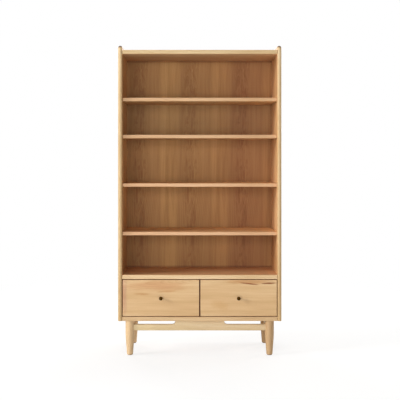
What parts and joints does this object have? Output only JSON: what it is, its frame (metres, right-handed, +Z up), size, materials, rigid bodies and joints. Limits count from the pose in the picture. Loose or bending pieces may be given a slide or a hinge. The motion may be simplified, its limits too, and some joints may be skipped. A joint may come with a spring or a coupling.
{
  "type": "bookcase with drawers",
  "caption": "Tall open-front oak bookcase with shelves on pins, inset dovetailed drawers with round knobs, and a low stand with turned legs and slotted rails.",
  "frame": {"origin": "on the floor, in the middle of the cabinet's bounding box", "axes": "+Z up; +X to the right of someone who faces the front; the front, with the drawers' knobs, looks towards -Y"},
  "size_m": [0.95, 0.401, 1.8],
  "materials": {
    "oak_board": "matt oiled",
    "oak_turned": "matt oiled",
    "oak_drawer_front": "matt oiled",
    "oak_veneer_back": "matt",
    "drawer_wood": "bare, sanded",
    "drawer_ply": "bare",
    "dark_bronze": "dark patina, satin",
    "steel": "zinc plated",
    "glide_plastic": "matt"
  },
  "bodies": {
    "cabinet": {"back_panel": "oak_veneer_back", "bottom_panel": "oak_board", "deck_panel": "oak_board", "drawer_divider": "oak_board", "foot_glides": "glide_plastic", "front_legs": "oak_turned", "front_rail": "oak_turned", "left_inner_runner": "drawer_wood", "left_outer_runner": "drawer_wood", "leg_studs": "steel", "rear_legs": "oak_turned", "rear_rail": "oak_turned", "right_inner_runner": "drawer_wood", "right_outer_runner": "drawer_wood", "shelf_1": "oak_board", "shelf_2": "oak_board", "shelf_3": "oak_board", "shelf_4": "oak_board", "shelf_pins": "steel", "side_panel_left": "oak_board", "side_panel_right": "oak_board", "side_rail_left": "oak_turned", "side_rail_right": "oak_turned", "top_panel": "oak_board"},
    "left_drawer": {"left_drawer_front": "oak_drawer_front", "left_drawer_outer_side": "drawer_wood", "left_drawer_inner_side": "drawer_wood", "left_drawer_back": "drawer_wood", "left_drawer_bottom": "drawer_ply", "left_knob": "dark_bronze", "left_knob_screw": "steel"},
    "right_drawer": {"right_drawer_front": "oak_drawer_front", "right_drawer_outer_side": "drawer_wood", "right_drawer_inner_side": "drawer_wood", "right_drawer_back": "drawer_wood", "right_drawer_bottom": "drawer_ply", "right_knob": "dark_bronze", "right_knob_screw": "steel"}
  },
  "joints": [
    {"name": "left_drawer_slide", "type": "slide", "parent": "cabinet", "child": "left_drawer", "axis": [0, -1, 0], "range_m": [0, 0.24]},
    {"name": "right_drawer_slide", "type": "slide", "parent": "cabinet", "child": "right_drawer", "axis": [0, -1, 0], "range_m": [0, 0.24]}
  ]
}
